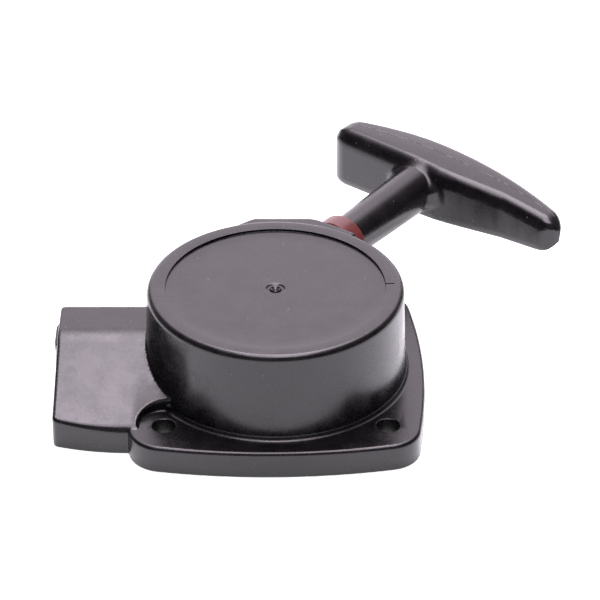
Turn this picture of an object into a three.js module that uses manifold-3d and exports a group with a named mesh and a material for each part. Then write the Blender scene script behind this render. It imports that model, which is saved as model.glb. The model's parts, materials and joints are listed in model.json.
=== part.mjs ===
// Recoil starter for a small two-stroke engine, in millimetres, +Z up.
// The case stands on its mounting face (z = 0), and the reel turns about the drum axis, parallel to Z.
// The rope leaves through the guide along the pull axis, and the T-handle sits on its end.
import * as THREE from "three";
import { mergeVertices } from "three/addons/utils/BufferGeometryUtils.js";
import Module from "manifold-3d";

const wasm = await Module();
wasm.setup();

// ---- Driving dimensions ----

const CLEARANCE = 0.3; // gap between neighbouring pieces

// Flange: a rounded square with bulging sides; corner circles in counter-clockwise order.
const FLANGE_TOP = 10.45;
const FLANGE_EDGE_RADIUS = 1.5;
const WALL = 3;
const CORNERS = [
  { x: -39.8, y: -39.2, r: 13.2, bolt: { x: -40, y: -38.8 } },
  { x: 40.4, y: -38.9, r: 12.3, bolt: { x: 40.6, y: -38.7 } },
  { x: 40, y: 38.8, r: 11, bolt: { x: 40, y: 38.8 } },
  { x: -40, y: 38.8, r: 11, bolt: { x: -40, y: 38.8 } },
];
const SIDE_RADII = [230, 260, 300, 260]; // front, right, rear, left
const BOLT_HOLE_RADIUS = 4.15;
const BOLT_BOSS_RADIUS = 7;
const BOLT_CLEARANCE_RADIUS = 9.6; // cut into the duct beside the front left bolt
const JOIN_LEVEL = 4; // the drum and the outlet block start here, inside the flange

// Drum, with 1 degree of draft, a rounded rim and a shallow round recess in its top.
const DRUM_TOP = 45.35;
const DRUM_RADIUS = 47; // at the rim
const DRUM_FOOT_RADIUS = 47.6;
const DRUM_WALL = 2.7;
const RIM_RADIUS = 2.3;
const FOOT_FILLET = 2.4;
const RECESS_RADIUS = 40.3;
const RECESS_DEPTH = 1;
const CEILING = DRUM_TOP - RECESS_DEPTH - 2.55; // underside of the drum's top
const GATE_PIP_RADIUS = 1.3; // moulding gate in the middle of the top

// Air duct on the left: flat top at the back, long slope to a low curved front.
const DUCT_LEFT = -80.1;
const DUCT_RIGHT = -36; // buried in the drum
const DUCT_REAR = 19;
const DUCT_TOP = 24;
const DUCT_RIDGE = 1; // y where the slope starts
const DUCT_SLOPE = 0.3;
const DUCT_FRONT = { x: -53.1, y: 45, r: 86.5 }; // arc of the front wall in plan
const DUCT_WALL = 2.6;
const DUCT_REACH = 60; // the duct's side view starts this far ahead of the ridge, past the curved front
const DUCT_RIB = { proud: 2.2, front: -7, flatFront: 0, flatRear: 15, rear: DUCT_REAR - 1, top: 19 };

// Pull axis: level, through the middle of the rope groove, turned from +X and offset from the drum axis.
const PULL_ANGLE = THREE.MathUtils.degToRad(54);
const PULL_OFFSET = 11;
const ROPE_LEVEL = 32;

// Rope outlet block on the back of the drum.
const OUTLET_TOP = 43;
const OUTLET_REAR = 52.6;
const OUTLET_LEFT = -8.9;
const OUTLET_CHAMFER_END = { x: -20.5, y: 41 };
const OUTLET_FACE = 51.3; // distance along the pull axis
const OUTLET_FACE_END = 11.5; // sideways from the pull axis
const OUTLET_DEPTH = 9; // of the part beside the guide's collar
const OUTLET_CORNER = { front: 2, rear: 1 }; // cut off where the face meets the rear

// Rope guide.
const GUIDE_SHANK_RADIUS = 6.7;
const GUIDE_COLLAR_RADIUS = 10.5;
const GUIDE_INNER_END = 44;
const GUIDE_OUTER_END = 59.4;
const GUIDE_BORE_RADIUS = 2.6;
const GUIDE_MOUTH_RADIUS = 4.6;

// Rope.
const ROPE_RADIUS = 1.6;
const WINDING_INNER = 26.5;
const WINDING_OUTER = 39; // four turns, one over the other
const LEAD_START = new THREE.Vector2(-3.5, 37.2); // direction in which the rope leaves the winding
const LEAD_BEND = { from: 39.6, fromAside: -3.2, middle: 41.8, to: 46.5 }; // round the guide's mouth
const REEL_KNOT_RADIUS = 3.6;
const HANDLE_KNOT_RADIUS = 4.6;
const KNOT_HEIGHT = 1.4; // as a multiple of the knot's radius

// Centre post, moulded under the drum's top.
const POST_RADIUS = 7;
const ARBOR_RADIUS = 9; // upper part, which holds the spring's inner end
const ARBOR_BOTTOM = 29.3;
const POST_BOTTOM = 16.8;
const HOOK_SLOT = 1.6;

// Reel.
const REEL_BORE_RADIUS = POST_RADIUS + CLEARANCE;
const REEL_RADIUS = 41;
const GROOVE_FLOOR_RADIUS = 26.2;
const GROOVE_BOTTOM = ROPE_LEVEL - 2;
const GROOVE_TOP = ROPE_LEVEL + 2;
const REEL_CHEEK = 1.6;
const SPRING_ROOM_RADIUS = 24.6;
const REEL_WEB_TOP = 29;
const REEL_WEB_BOTTOM = 26.5;
const REEL_HUB_RADIUS = 11;
const REEL_HUB_BOTTOM = 24.2;
const REEL_RIM_TOP = 40.4;
const KNOT_HOLE = { x: -28, y: -14, r: 2 };

// Mainspring.
const SPRING_TURNS = 6;
const SPRING_THICKNESS = 0.6;
const SPRING_BOTTOM = 30;
const SPRING_TOP = 39.4;

// Pawls, cam plate and brake, below the reel.
const PAWL_PIVOT_RADIUS = 15;
const PAWL_REST = THREE.MathUtils.degToRad(-80);
const PAWL_SWING = THREE.MathUtils.degToRad(25);
const PAWL_LENGTH = 17;
const PAWL_BOTTOM = 22.5;
const PAWL_TOP = 26.1;
const PAWL_PIN_RADIUS = 2;
const PAWL_PEG_RADIUS = 1.6;
const PAWL_PEG_REACH = 8;
const CAM_RADIUS = 24.5;
const CAM_TOP = 22.1;
const CAM_BOTTOM = 20;
const CAM_SWING = THREE.MathUtils.degToRad(24);
const CAM_SLOT_RADIUS = PAWL_PEG_RADIUS + 0.4;
const BRAKE_WIRE = 0.5; // radius
const BRAKE_TURNS = 1.9;
const SCREW_RADIUS = 2.5;
const SCREW_HEAD_RADIUS = 5.6;
const SCREW_HEAD_HEIGHT = 3.6;
const INSERT_RADIUS = 4.6;
const RETAINER_RADIUS = 11.5;
const RETAINER_BOTTOM = POST_BOTTOM - 1.6;
const LOCK_WASHER_RADIUS = 5.1;
const LOCK_WASHER_TOP = RETAINER_BOTTOM - CLEARANCE;
const LOCK_WASHER_BOTTOM = LOCK_WASHER_TOP - 1.3;
const SCREW_HEAD_TOP = LOCK_WASHER_BOTTOM - CLEARANCE;

// T-handle, measured along the pull axis from the drum axis.
const STEM_START = GUIDE_OUTER_END + CLEARANCE;
const STEM_START_RADIUS = 8;
const STEM_END_RADIUS = 9.2;
const GRIP_INNER = 107; // at the stem
const GRIP_OUTER = 129.8;
const GRIP_LEFT = -42; // the grip reaches further to the right of the stem than to its left
const GRIP_RIGHT = 63;
const GRIP_CREASE = 38.7; // on the finger side
const GRIP_HALF_HEIGHT = 12.6;
const GRIP_DROP = 0.8; // the grip's middle is this much below the pull axis
const GRIP_TIP_ROUNDING = 7;
const KNOT_POCKET_RADIUS = 6.5;
const KNOT_POCKET_FLOOR = 117;
const KNOT_WASHER_END = KNOT_POCKET_FLOOR + 1.5;

// ---- Solids ----

// A closed mesh as a manifold-3d solid; triangles that shrink to nothing on an axis are left out.
function solid(geometry) {
  const bare = new THREE.BufferGeometry();
  bare.setAttribute("position", geometry.getAttribute("position"));
  bare.setIndex(geometry.index);
  const merged = mergeVertices(bare, 1e-4);
  const corners = merged.index.array;
  const kept = [];
  for (let i = 0; i < corners.length; i += 3) {
    const [a, b, c] = [corners[i], corners[i + 1], corners[i + 2]];
    if (a !== b && b !== c && c !== a) kept.push(a, b, c);
  }
  return new wasm.Manifold(
    new wasm.Mesh({
      numProp: 3,
      vertProperties: merged.getAttribute("position").array,
      triVerts: new Uint32Array(kept),
    }),
  );
}

// The surface of a manifold-3d solid as a three.js geometry.
function surface(body) {
  const mesh = body.getMesh();
  const geometry = new THREE.BufferGeometry();
  geometry.setAttribute("position", new THREE.BufferAttribute(new Float32Array(mesh.vertProperties), 3));
  geometry.setIndex(new THREE.BufferAttribute(new Uint32Array(mesh.triVerts), 1));
  const faceted = geometry.toNonIndexed();
  faceted.computeVertexNormals();
  return faceted;
}

// A profile of [radius, height] points turned about Z. It goes up on the outside and back down inside.
function turned(profile, segments = 48) {
  const points = profile.map(([radius, height]) => new THREE.Vector2(radius, height));
  if (profile[0][0] > 0) points.push(points[0].clone());
  const geometry = new THREE.LatheGeometry(points, segments);
  geometry.rotateX(Math.PI / 2);
  return solid(geometry);
}

// A ring or washer between two radii and two heights.
function ring(inner, outer, bottom, top, segments = 28) {
  return turned([[inner, bottom], [outer, bottom], [outer, top], [inner, top]], segments);
}

function disc(radius, bottom, top, x = 0, y = 0, segments = 24) {
  return turned([[0, bottom], [radius, bottom], [radius, top], [0, top]], segments).translate([x, y, 0]);
}

// A flat outline raised from one height to another.
function plate(shape, bottom, top, curveSegments = 6) {
  const settings = { depth: top - bottom, bevelEnabled: false, curveSegments };
  return solid(new THREE.ExtrudeGeometry(shape, settings)).translate([0, 0, bottom]);
}

function outline(points) {
  return new THREE.Shape(points.map(([x, y]) => new THREE.Vector2(x, y)));
}

// A skin over convex rings of equal point count, closed by a fan at each end.
function loft(rings) {
  const count = rings[0].length;
  const middle = (ring) => ring.reduce((sum, p) => sum.add(p), new THREE.Vector3()).divideScalar(count);
  const vertices = [...rings.flat(), middle(rings[0]), middle(rings[rings.length - 1])];
  const first = rings.length * count;
  const index = [];
  for (let i = 0; i < count; i++) {
    const next = (i + 1) % count;
    for (let k = 0; k + 1 < rings.length; k++) {
      const [a, b] = [k * count + i, k * count + next];
      index.push(a, b, b + count, a, b + count, a + count);
    }
    index.push(first, next, i);
    index.push(first + 1, first - count + i, first - count + next);
  }
  const geometry = new THREE.BufferGeometry().setFromPoints(vertices);
  geometry.setIndex(index);
  return solid(geometry);
}

// A round bar along a curve.
function bar(curve, radius, steps, sides = 8) {
  const section = new THREE.Shape();
  for (let i = 0; i < sides; i++) {
    const angle = (2 * Math.PI * i) / sides;
    const corner = [radius * Math.cos(angle), radius * Math.sin(angle)];
    if (i === 0) section.moveTo(...corner);
    else section.lineTo(...corner);
  }
  return solid(new THREE.ExtrudeGeometry(section, { steps, extrudePath: curve, bevelEnabled: false }));
}

// Points of an arc in the plane, from one angle to another.
function arc(x, y, radius, from, to, steps) {
  return Array.from({ length: steps + 1 }, (_, i) => {
    const angle = from + ((to - from) * i) / steps;
    return [x + radius * Math.cos(angle), y + radius * Math.sin(angle)];
  });
}

// ---- Pull axis ----

const ALONG = new THREE.Vector2(Math.cos(PULL_ANGLE), Math.sin(PULL_ANGLE));
const ASIDE = new THREE.Vector2(ALONG.y, -ALONG.x); // to the right when looking out along the rope

// A point in plan, by its distance along the pull axis and to its right.
function beside(along, aside = 0) {
  const sideways = aside - PULL_OFFSET;
  return new THREE.Vector2(ALONG.x * along + ASIDE.x * sideways, ALONG.y * along + ASIDE.y * sideways);
}

// Turns a solid made about +Z so that its +Z lies along the pull axis and its +X points down.
const ontoPullAxis = new THREE.Matrix4()
  .makeBasis(
    new THREE.Vector3(0, 0, -1),
    new THREE.Vector3(-ASIDE.x, -ASIDE.y, 0),
    new THREE.Vector3(ALONG.x, ALONG.y, 0),
  )
  .setPosition(beside(0).x, beside(0).y, ROPE_LEVEL);

function alongPull(body) {
  return body.transform(ontoPullAxis.elements);
}

// ---- Case ----

// Centre of the side arc that touches two corner circles, both of which lie inside it.
function sideCentre(a, b, radius) {
  const [dx, dy] = [b.x - a.x, b.y - a.y];
  const gap = Math.hypot(dx, dy);
  const along = ((radius - a.r) ** 2 - (radius - b.r) ** 2 + gap ** 2) / (2 * gap);
  const across = Math.sqrt((radius - a.r) ** 2 - along ** 2);
  return { x: a.x + (dx * along - dy * across) / gap, y: a.y + (dy * along + dx * across) / gap };
}

// The flange's outline in plan, moved inwards by an inset.
function flangeOutline(inset, steps) {
  const sides = CORNERS.map((corner, i) => sideCentre(corner, CORNERS[(i + 1) % 4], SIDE_RADII[i]));
  const bearing = (centre, corner) => Math.atan2(corner.y - centre.y, corner.x - centre.x);
  const onward = (angle, start) => (angle < start ? onward(angle + 2 * Math.PI, start) : angle);
  return CORNERS.flatMap((corner, i) => {
    const next = CORNERS[(i + 1) % 4];
    const from = bearing(sides[(i + 3) % 4], corner);
    const to = onward(bearing(sides[i], corner), from);
    const round = arc(corner.x, corner.y, corner.r - inset, from, to, steps);
    const end = onward(bearing(sides[i], next), to);
    const side = arc(sides[i].x, sides[i].y, SIDE_RADII[i] - inset, to, end, steps);
    return [...round, ...side.slice(1, -1)];
  });
}

function flangeBlank() {
  const level = (inset, z) => flangeOutline(inset, 8).map(([x, y]) => new THREE.Vector3(x, y, z));
  const rounding = [0, 30, 60, 90].map((degrees) => {
    const angle = THREE.MathUtils.degToRad(degrees);
    const inset = FLANGE_EDGE_RADIUS * (1 - Math.cos(angle));
    return level(inset, FLANGE_TOP - FLANGE_EDGE_RADIUS * (1 - Math.sin(angle)));
  });
  return loft([level(0, 0), ...rounding]);
}

function drumBlank() {
  const foot = FLANGE_TOP + FOOT_FILLET;
  const quarter = Math.PI / 2;
  return turned(
    [
      [0, JOIN_LEVEL],
      [DRUM_FOOT_RADIUS + FOOT_FILLET, JOIN_LEVEL],
      ...arc(DRUM_FOOT_RADIUS + FOOT_FILLET, foot, FOOT_FILLET, -quarter, -2 * quarter, 3),
      ...arc(DRUM_RADIUS - RIM_RADIUS, DRUM_TOP - RIM_RADIUS, RIM_RADIUS, 0, quarter, 3),
      [RECESS_RADIUS, DRUM_TOP],
      [RECESS_RADIUS, DRUM_TOP - RECESS_DEPTH],
      [GATE_PIP_RADIUS, DRUM_TOP - RECESS_DEPTH],
      [GATE_PIP_RADIUS, DRUM_TOP - RECESS_DEPTH + 0.3],
      [0, DRUM_TOP - RECESS_DEPTH + 0.3],
    ],
    72,
  );
}

// The duct's block, moved inwards by an inset: its side view along X, cut to its plan.
function ductBlock(inset, bottom) {
  const fall = DUCT_SLOPE * DUCT_REACH;
  const drop = inset * Math.hypot(1, DUCT_SLOPE);
  const side = outline([
    [DUCT_RIDGE - DUCT_REACH, bottom],
    [DUCT_REAR - inset, bottom],
    [DUCT_REAR - inset, DUCT_TOP - inset],
    [DUCT_RIDGE, DUCT_TOP - inset],
    [DUCT_RIDGE - DUCT_REACH, DUCT_TOP - drop - fall],
  ]);
  const [left, right] = [DUCT_LEFT + inset, DUCT_RIGHT];
  const length = new THREE.ExtrudeGeometry(side, { depth: right - left, bevelEnabled: false });
  // The side view's x becomes Y, its y becomes Z and its depth becomes X.
  length.applyMatrix4(new THREE.Matrix4().set(0, 0, 1, left, 1, 0, 0, 0, 0, 1, 0, 0, 0, 0, 0, 1));
  const front = DUCT_FRONT.r - inset;
  const bearing = (x) => -Math.acos((x - DUCT_FRONT.x) / front);
  const plan = outline([
    ...arc(DUCT_FRONT.x, DUCT_FRONT.y, front, bearing(left), bearing(right), 8),
    [right, DUCT_REAR + 5],
    [left, DUCT_REAR + 5],
  ]);
  return solid(length).intersect(plate(plan, bottom, DUCT_TOP + 5));
}

function ductRib() {
  const out = DUCT_LEFT - DUCT_RIB.proud;
  const shape = outline([
    [DUCT_LEFT + 1, DUCT_RIB.front],
    [DUCT_LEFT + 1, DUCT_RIB.rear],
    [DUCT_LEFT, DUCT_RIB.rear],
    [out, DUCT_RIB.flatRear],
    [out, DUCT_RIB.flatFront],
    [DUCT_LEFT, DUCT_RIB.front],
  ]);
  return plate(shape, 0, DUCT_RIB.top);
}

function outletBlock() {
  const corner = beside(OUTLET_FACE, OUTLET_FACE_END);
  const back = beside(OUTLET_FACE - OUTLET_DEPTH, OUTLET_FACE_END);
  const faceStart = (OUTLET_FACE - ALONG.y * OUTLET_REAR) / ALONG.x;
  const plan = outline([
    [OUTLET_CHAMFER_END.x, OUTLET_CHAMFER_END.y],
    [0, DRUM_RADIUS - OUTLET_DEPTH],
    [back.x, back.y],
    [corner.x, corner.y],
    [faceStart + OUTLET_CORNER.front, OUTLET_REAR - OUTLET_CORNER.front * (ALONG.x / ALONG.y)],
    [faceStart - OUTLET_CORNER.rear, OUTLET_REAR],
    [OUTLET_LEFT, OUTLET_REAR],
  ]);
  return plate(plan, JOIN_LEVEL, OUTLET_TOP);
}

// The space cut out round the front left bolt, for its head and a socket.
function boltClearance(radius, bottom) {
  const { bolt } = CORNERS[0];
  return disc(radius, bottom, DUCT_TOP + 1, bolt.x, bolt.y, 48);
}

// The hollows under the drum, the flange and the duct.
function caseRooms() {
  const below = -1;
  const drum = turned([
    [0, below],
    [DRUM_FOOT_RADIUS - DRUM_WALL, below],
    [DRUM_FOOT_RADIUS - DRUM_WALL, FLANGE_TOP],
    [DRUM_RADIUS - DRUM_WALL, CEILING],
    [0, CEILING],
  ]);
  const flangeCeiling = FLANGE_TOP - WALL;
  const flange = plate(outline(flangeOutline(WALL, 6)), below, flangeCeiling);
  const duct = ductBlock(DUCT_WALL, below)
    .subtract(disc(DRUM_FOOT_RADIUS, flangeCeiling, DUCT_TOP, 0, 0, 48))
    .subtract(boltClearance(BOLT_CLEARANCE_RADIUS + DUCT_WALL, flangeCeiling));
  return drum.add(flange).add(duct);
}

// The post that the reel turns on; its thick upper part has a slot for the mainspring's inner end.
function centrePost() {
  const post = turned([
    [0, POST_BOTTOM],
    [POST_RADIUS, POST_BOTTOM],
    [POST_RADIUS, ARBOR_BOTTOM],
    [ARBOR_RADIUS, ARBOR_BOTTOM],
    [ARBOR_RADIUS, CEILING + 1],
    [0, CEILING + 1],
  ]);
  const slotEnd = ARBOR_RADIUS + 1;
  const slot = outline([
    [0, -HOOK_SLOT / 2],
    [slotEnd, -HOOK_SLOT / 2],
    [slotEnd, HOOK_SLOT / 2],
    [0, HOOK_SLOT / 2],
  ]);
  return post
    .subtract(plate(slot, ARBOR_BOTTOM + 0.5, CEILING - 1))
    .subtract(disc(INSERT_RADIUS + CLEARANCE, POST_BOTTOM - 1, ARBOR_BOTTOM))
    .subtract(disc(SCREW_RADIUS + CLEARANCE, POST_BOTTOM, ARBOR_BOTTOM + 5));
}

function starterCase() {
  let body = ductBlock(0, 0)
    .subtract(boltClearance(BOLT_CLEARANCE_RADIUS, FLANGE_TOP))
    .add(ductRib())
    .add(flangeBlank())
    .add(outletBlock())
    .add(drumBlank())
    .subtract(caseRooms());
  for (const { bolt } of CORNERS) {
    body = body
      .add(disc(BOLT_BOSS_RADIUS, 0, FLANGE_TOP - 1, bolt.x, bolt.y))
      .subtract(disc(BOLT_HOLE_RADIUS, -1, FLANGE_TOP + 1, bolt.x, bolt.y));
  }
  return body
    .subtract(alongPull(disc(GUIDE_SHANK_RADIUS + CLEARANCE, DRUM_RADIUS - 17, OUTLET_FACE + 1)))
    .subtract(alongPull(disc(GUIDE_COLLAR_RADIUS + CLEARANCE, OUTLET_FACE, OUTLET_FACE + 12)))
    .add(centrePost());
}

function ropeGuide() {
  return alongPull(
    turned(
      [
        [GUIDE_MOUTH_RADIUS, GUIDE_INNER_END],
        [GUIDE_SHANK_RADIUS, GUIDE_INNER_END + 0.4],
        [GUIDE_SHANK_RADIUS, OUTLET_FACE + CLEARANCE],
        [GUIDE_COLLAR_RADIUS, OUTLET_FACE + CLEARANCE],
        [GUIDE_COLLAR_RADIUS, GUIDE_OUTER_END - 1],
        [GUIDE_COLLAR_RADIUS - 1, GUIDE_OUTER_END],
        [GUIDE_MOUTH_RADIUS - 1, GUIDE_OUTER_END],
        [GUIDE_BORE_RADIUS, GUIDE_OUTER_END - 2],
        [GUIDE_BORE_RADIUS, GUIDE_INNER_END + 3.5],
      ],
      28,
    ),
  );
}

function postInsert() {
  return ring(SCREW_RADIUS + CLEARANCE, INSERT_RADIUS, POST_BOTTOM + 0.2, ARBOR_BOTTOM - CLEARANCE, 24);
}

// ---- Reel, rope and mainspring ----

// A place turned half a turn about the drum axis for the second of a pair.
const halfTurns = { a: 0, b: 180 };

function ropeReel() {
  let body = turned(
    [
      [REEL_BORE_RADIUS, REEL_HUB_BOTTOM],
      [REEL_HUB_RADIUS, REEL_HUB_BOTTOM],
      [REEL_HUB_RADIUS, REEL_WEB_BOTTOM],
      [GROOVE_FLOOR_RADIUS, REEL_WEB_BOTTOM],
      [GROOVE_FLOOR_RADIUS, GROOVE_BOTTOM - REEL_CHEEK],
      [REEL_RADIUS, GROOVE_BOTTOM - REEL_CHEEK],
      [REEL_RADIUS, GROOVE_BOTTOM],
      [GROOVE_FLOOR_RADIUS, GROOVE_BOTTOM],
      [GROOVE_FLOOR_RADIUS, GROOVE_TOP],
      [REEL_RADIUS, GROOVE_TOP],
      [REEL_RADIUS, GROOVE_TOP + REEL_CHEEK],
      [GROOVE_FLOOR_RADIUS, GROOVE_TOP + REEL_CHEEK],
      [GROOVE_FLOOR_RADIUS, REEL_RIM_TOP],
      [SPRING_ROOM_RADIUS, REEL_RIM_TOP],
      [SPRING_ROOM_RADIUS, REEL_WEB_TOP],
      [REEL_BORE_RADIUS, REEL_WEB_TOP],
    ],
    44,
  );
  const [bottom, top] = [REEL_WEB_BOTTOM - 1, REEL_WEB_TOP - 0.6];
  for (const degrees of Object.values(halfTurns)) {
    const pinHole = disc(PAWL_PIN_RADIUS + CLEARANCE, bottom, top, PAWL_PIVOT_RADIUS, 0, 20);
    body = body.subtract(pinHole.rotate([0, 0, degrees]));
  }
  return body.subtract(disc(KNOT_HOLE.r, bottom, GROOVE_BOTTOM + 0.5, KNOT_HOLE.x, KNOT_HOLE.y, 16));
}

function springCover() {
  return ring(ARBOR_RADIUS + 0.6, SPRING_ROOM_RADIUS - CLEARANCE, REEL_RIM_TOP - 0.8, REEL_RIM_TOP, 36);
}

// A flat spiral strip, wound from the reel's wall in to the arbor, with its inner end bent into the slot.
function mainspring() {
  const outer = SPRING_ROOM_RADIUS - CLEARANCE;
  const inner = ARBOR_RADIUS + CLEARANCE + SPRING_THICKNESS;
  const steps = SPRING_TURNS * 16;
  const edge = (offset) =>
    Array.from({ length: steps + 1 }, (_, i) => {
      const radius = outer + ((inner - outer) * i) / steps - offset;
      const angle = (2 * Math.PI * SPRING_TURNS * i) / steps;
      return [radius * Math.cos(angle), radius * Math.sin(angle)];
    });
  const hookReach = ARBOR_RADIUS - 3;
  const hook = [
    [hookReach, 0],
    [hookReach, -SPRING_THICKNESS],
    [inner - SPRING_THICKNESS, -SPRING_THICKNESS],
  ];
  const back = edge(SPRING_THICKNESS).reverse().slice(1);
  return plate(outline([...edge(0), ...hook, ...back]), SPRING_BOTTOM, SPRING_TOP);
}

function ropeWinding() {
  return ring(WINDING_INNER, WINDING_OUTER, ROPE_LEVEL - ROPE_RADIUS, ROPE_LEVEL + ROPE_RADIUS, 40);
}

// From the winding's outer turn, round into the guide, and straight out to the knot in the handle.
function ropeLead() {
  const point = (plan) => new THREE.Vector3(plan.x, plan.y, ROPE_LEVEL);
  const start = LEAD_START.clone().setLength(WINDING_OUTER + CLEARANCE + ROPE_RADIUS);
  const bendStart = point(beside(LEAD_BEND.from, LEAD_BEND.fromAside));
  const bendMiddle = point(beside(LEAD_BEND.middle));
  const bendEnd = point(beside(LEAD_BEND.to));
  const path = new THREE.CurvePath();
  path.add(new THREE.LineCurve3(point(start), bendStart));
  path.add(new THREE.QuadraticBezierCurve3(bendStart, bendMiddle, bendEnd));
  path.add(new THREE.LineCurve3(bendEnd, point(beside(KNOT_POCKET_FLOOR + 1))));
  return bar(path, ROPE_RADIUS, 24);
}

// A stopper knot, as a flattened ball that stands on z = 0.
function knot(radius) {
  const profile = [[0, 0], [0.7, 0], [1, 0.45], [1, 0.95], [0.7, KNOT_HEIGHT], [0, KNOT_HEIGHT]];
  return turned(profile.map(([across, up]) => [across * radius, up * radius]), 16);
}

function reelKnot() {
  const top = GROOVE_BOTTOM - REEL_CHEEK - CLEARANCE;
  return knot(REEL_KNOT_RADIUS).translate([KNOT_HOLE.x, KNOT_HOLE.y, top - REEL_KNOT_RADIUS * KNOT_HEIGHT]);
}

// ---- Pawls, cam plate and brake ----

// The peg's place on the cam plate when the pawls are a given part of the way out.
function pegOnCam(part) {
  const angle = PAWL_REST + PAWL_SWING * part;
  const peg = new THREE.Vector2(
    PAWL_PIVOT_RADIUS + PAWL_PEG_REACH * Math.cos(angle),
    PAWL_PEG_REACH * Math.sin(angle),
  );
  return peg.rotateAround(new THREE.Vector2(), -CAM_SWING * part);
}

function pawl() {
  const foot = 3.6;
  const tip = 1.9;
  const arm = outline([
    ...arc(0, 0, foot, Math.PI / 2 + 0.1, (3 * Math.PI) / 2 - 0.1, 8),
    [PAWL_LENGTH - 1.6, -tip],
    [PAWL_LENGTH, tip + 0.8],
    [PAWL_LENGTH - 4, tip],
  ]);
  return plate(arm, PAWL_BOTTOM, PAWL_TOP)
    .subtract(disc(PAWL_PIN_RADIUS + 0.15, PAWL_BOTTOM - 1, PAWL_TOP + 1, 0, 0, 20))
    .add(disc(PAWL_PEG_RADIUS, CAM_BOTTOM - 0.4, PAWL_BOTTOM + 0.5, PAWL_PEG_REACH, 0, 16))
    .rotate([0, 0, THREE.MathUtils.radToDeg(PAWL_REST)])
    .translate([PAWL_PIVOT_RADIUS, 0, 0]);
}

function pawlPin() {
  return disc(PAWL_PIN_RADIUS, PAWL_BOTTOM, REEL_WEB_TOP - 0.9, PAWL_PIVOT_RADIUS, 0, 20);
}

function camPlate() {
  let body = ring(POST_RADIUS + 0.4, CAM_RADIUS, CAM_BOTTOM, CAM_TOP);
  const slotSteps = 6;
  for (const degrees of Object.values(halfTurns)) {
    for (let i = 0; i <= slotSteps; i++) {
      const place = pegOnCam(i / slotSteps);
      const cut = disc(CAM_SLOT_RADIUS, CAM_BOTTOM - 1, CAM_TOP + 1, place.x, place.y, 20);
      body = body.subtract(cut.rotate([0, 0, degrees]));
    }
  }
  return body;
}

function brakeSpring() {
  const radius = POST_RADIUS + 2;
  const low = POST_BOTTOM + CLEARANCE + BRAKE_WIRE;
  const high = CAM_BOTTOM - CLEARANCE - BRAKE_WIRE;
  class Coil extends THREE.Curve {
    getPoint(part, target = new THREE.Vector3()) {
      const angle = part * 2 * Math.PI * BRAKE_TURNS;
      return target.set(radius * Math.cos(angle), radius * Math.sin(angle), low + (high - low) * part);
    }
  }
  return bar(new Coil(), BRAKE_WIRE, 30, 6);
}

function thrustWasher() {
  const [bottom, top] = [CAM_TOP + CLEARANCE, REEL_HUB_BOTTOM - CLEARANCE];
  return ring(POST_RADIUS + CLEARANCE, REEL_HUB_RADIUS - 0.5, bottom, top);
}

function retainingWasher() {
  return ring(SCREW_RADIUS + CLEARANCE, RETAINER_RADIUS, RETAINER_BOTTOM, POST_BOTTOM - CLEARANCE);
}

// A split washer: a ring with a slanting gap.
function lockWasher() {
  const gap = plate(outline([[0, -0.6], [9, -0.6], [9, 0.6], [0, 0.6]]), -4, 4)
    .rotate([25, 0, 0])
    .translate([0, 0, (LOCK_WASHER_BOTTOM + LOCK_WASHER_TOP) / 2]);
  const washer = ring(SCREW_RADIUS + CLEARANCE, LOCK_WASHER_RADIUS, LOCK_WASHER_BOTTOM, LOCK_WASHER_TOP);
  return washer.subtract(gap);
}

function centreScrew() {
  const hexagon = outline(arc(0, 0, SCREW_HEAD_RADIUS, 0, (5 * Math.PI) / 3, 5));
  return plate(hexagon, SCREW_HEAD_TOP - SCREW_HEAD_HEIGHT, SCREW_HEAD_TOP).add(
    disc(SCREW_RADIUS, SCREW_HEAD_TOP - 1, ARBOR_BOTTOM + 3),
  );
}

// ---- T-handle ----

// The finger side of the grip: it leans in towards the right, and a shallow crease holds the index finger.
function gripInner(aside) {
  if (aside < STEM_END_RADIUS) return GRIP_INNER - 0.07 * aside;
  const start = GRIP_INNER - 0.07 * STEM_END_RADIUS;
  const toCrease = Math.min(aside, GRIP_CREASE) - STEM_END_RADIUS;
  const pastCrease = Math.max(aside - GRIP_CREASE, 0);
  return start + 0.05 * toCrease - 0.09 * pastCrease;
}

// A cross-section of the grip, square to its length: a rounded rectangle, described along the pull axis
// (out), across it (aside) and up. The left part is tall and short, the right part long and slim.
function gripRing(aside, shrink = 1) {
  const inner = gripInner(aside);
  const outer = GRIP_OUTER - (aside < -5 ? 0.0047 : 0.0029) * (aside + 5) ** 2;
  const taper = Math.max(0, aside + 8) / 66;
  const halfHeight = (GRIP_HALF_HEIGHT - 4.8 * taper ** 1.5) * shrink;
  const halfDepth = ((outer - inner) / 2) * shrink;
  const middle = (inner + outer) / 2;
  const squareness = 2 / 3.4;
  return Array.from({ length: 20 }, (_, i) => {
    const angle = (2 * Math.PI * i) / 20;
    const c = Math.cos(angle);
    const s = Math.sin(angle);
    const out = middle + halfDepth * Math.sign(c) * Math.abs(c) ** squareness;
    const up = halfHeight * Math.sign(s) * Math.abs(s) ** squareness;
    const plan = beside(out, aside);
    return new THREE.Vector3(plan.x, plan.y, ROPE_LEVEL - GRIP_DROP + up);
  });
}

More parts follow.
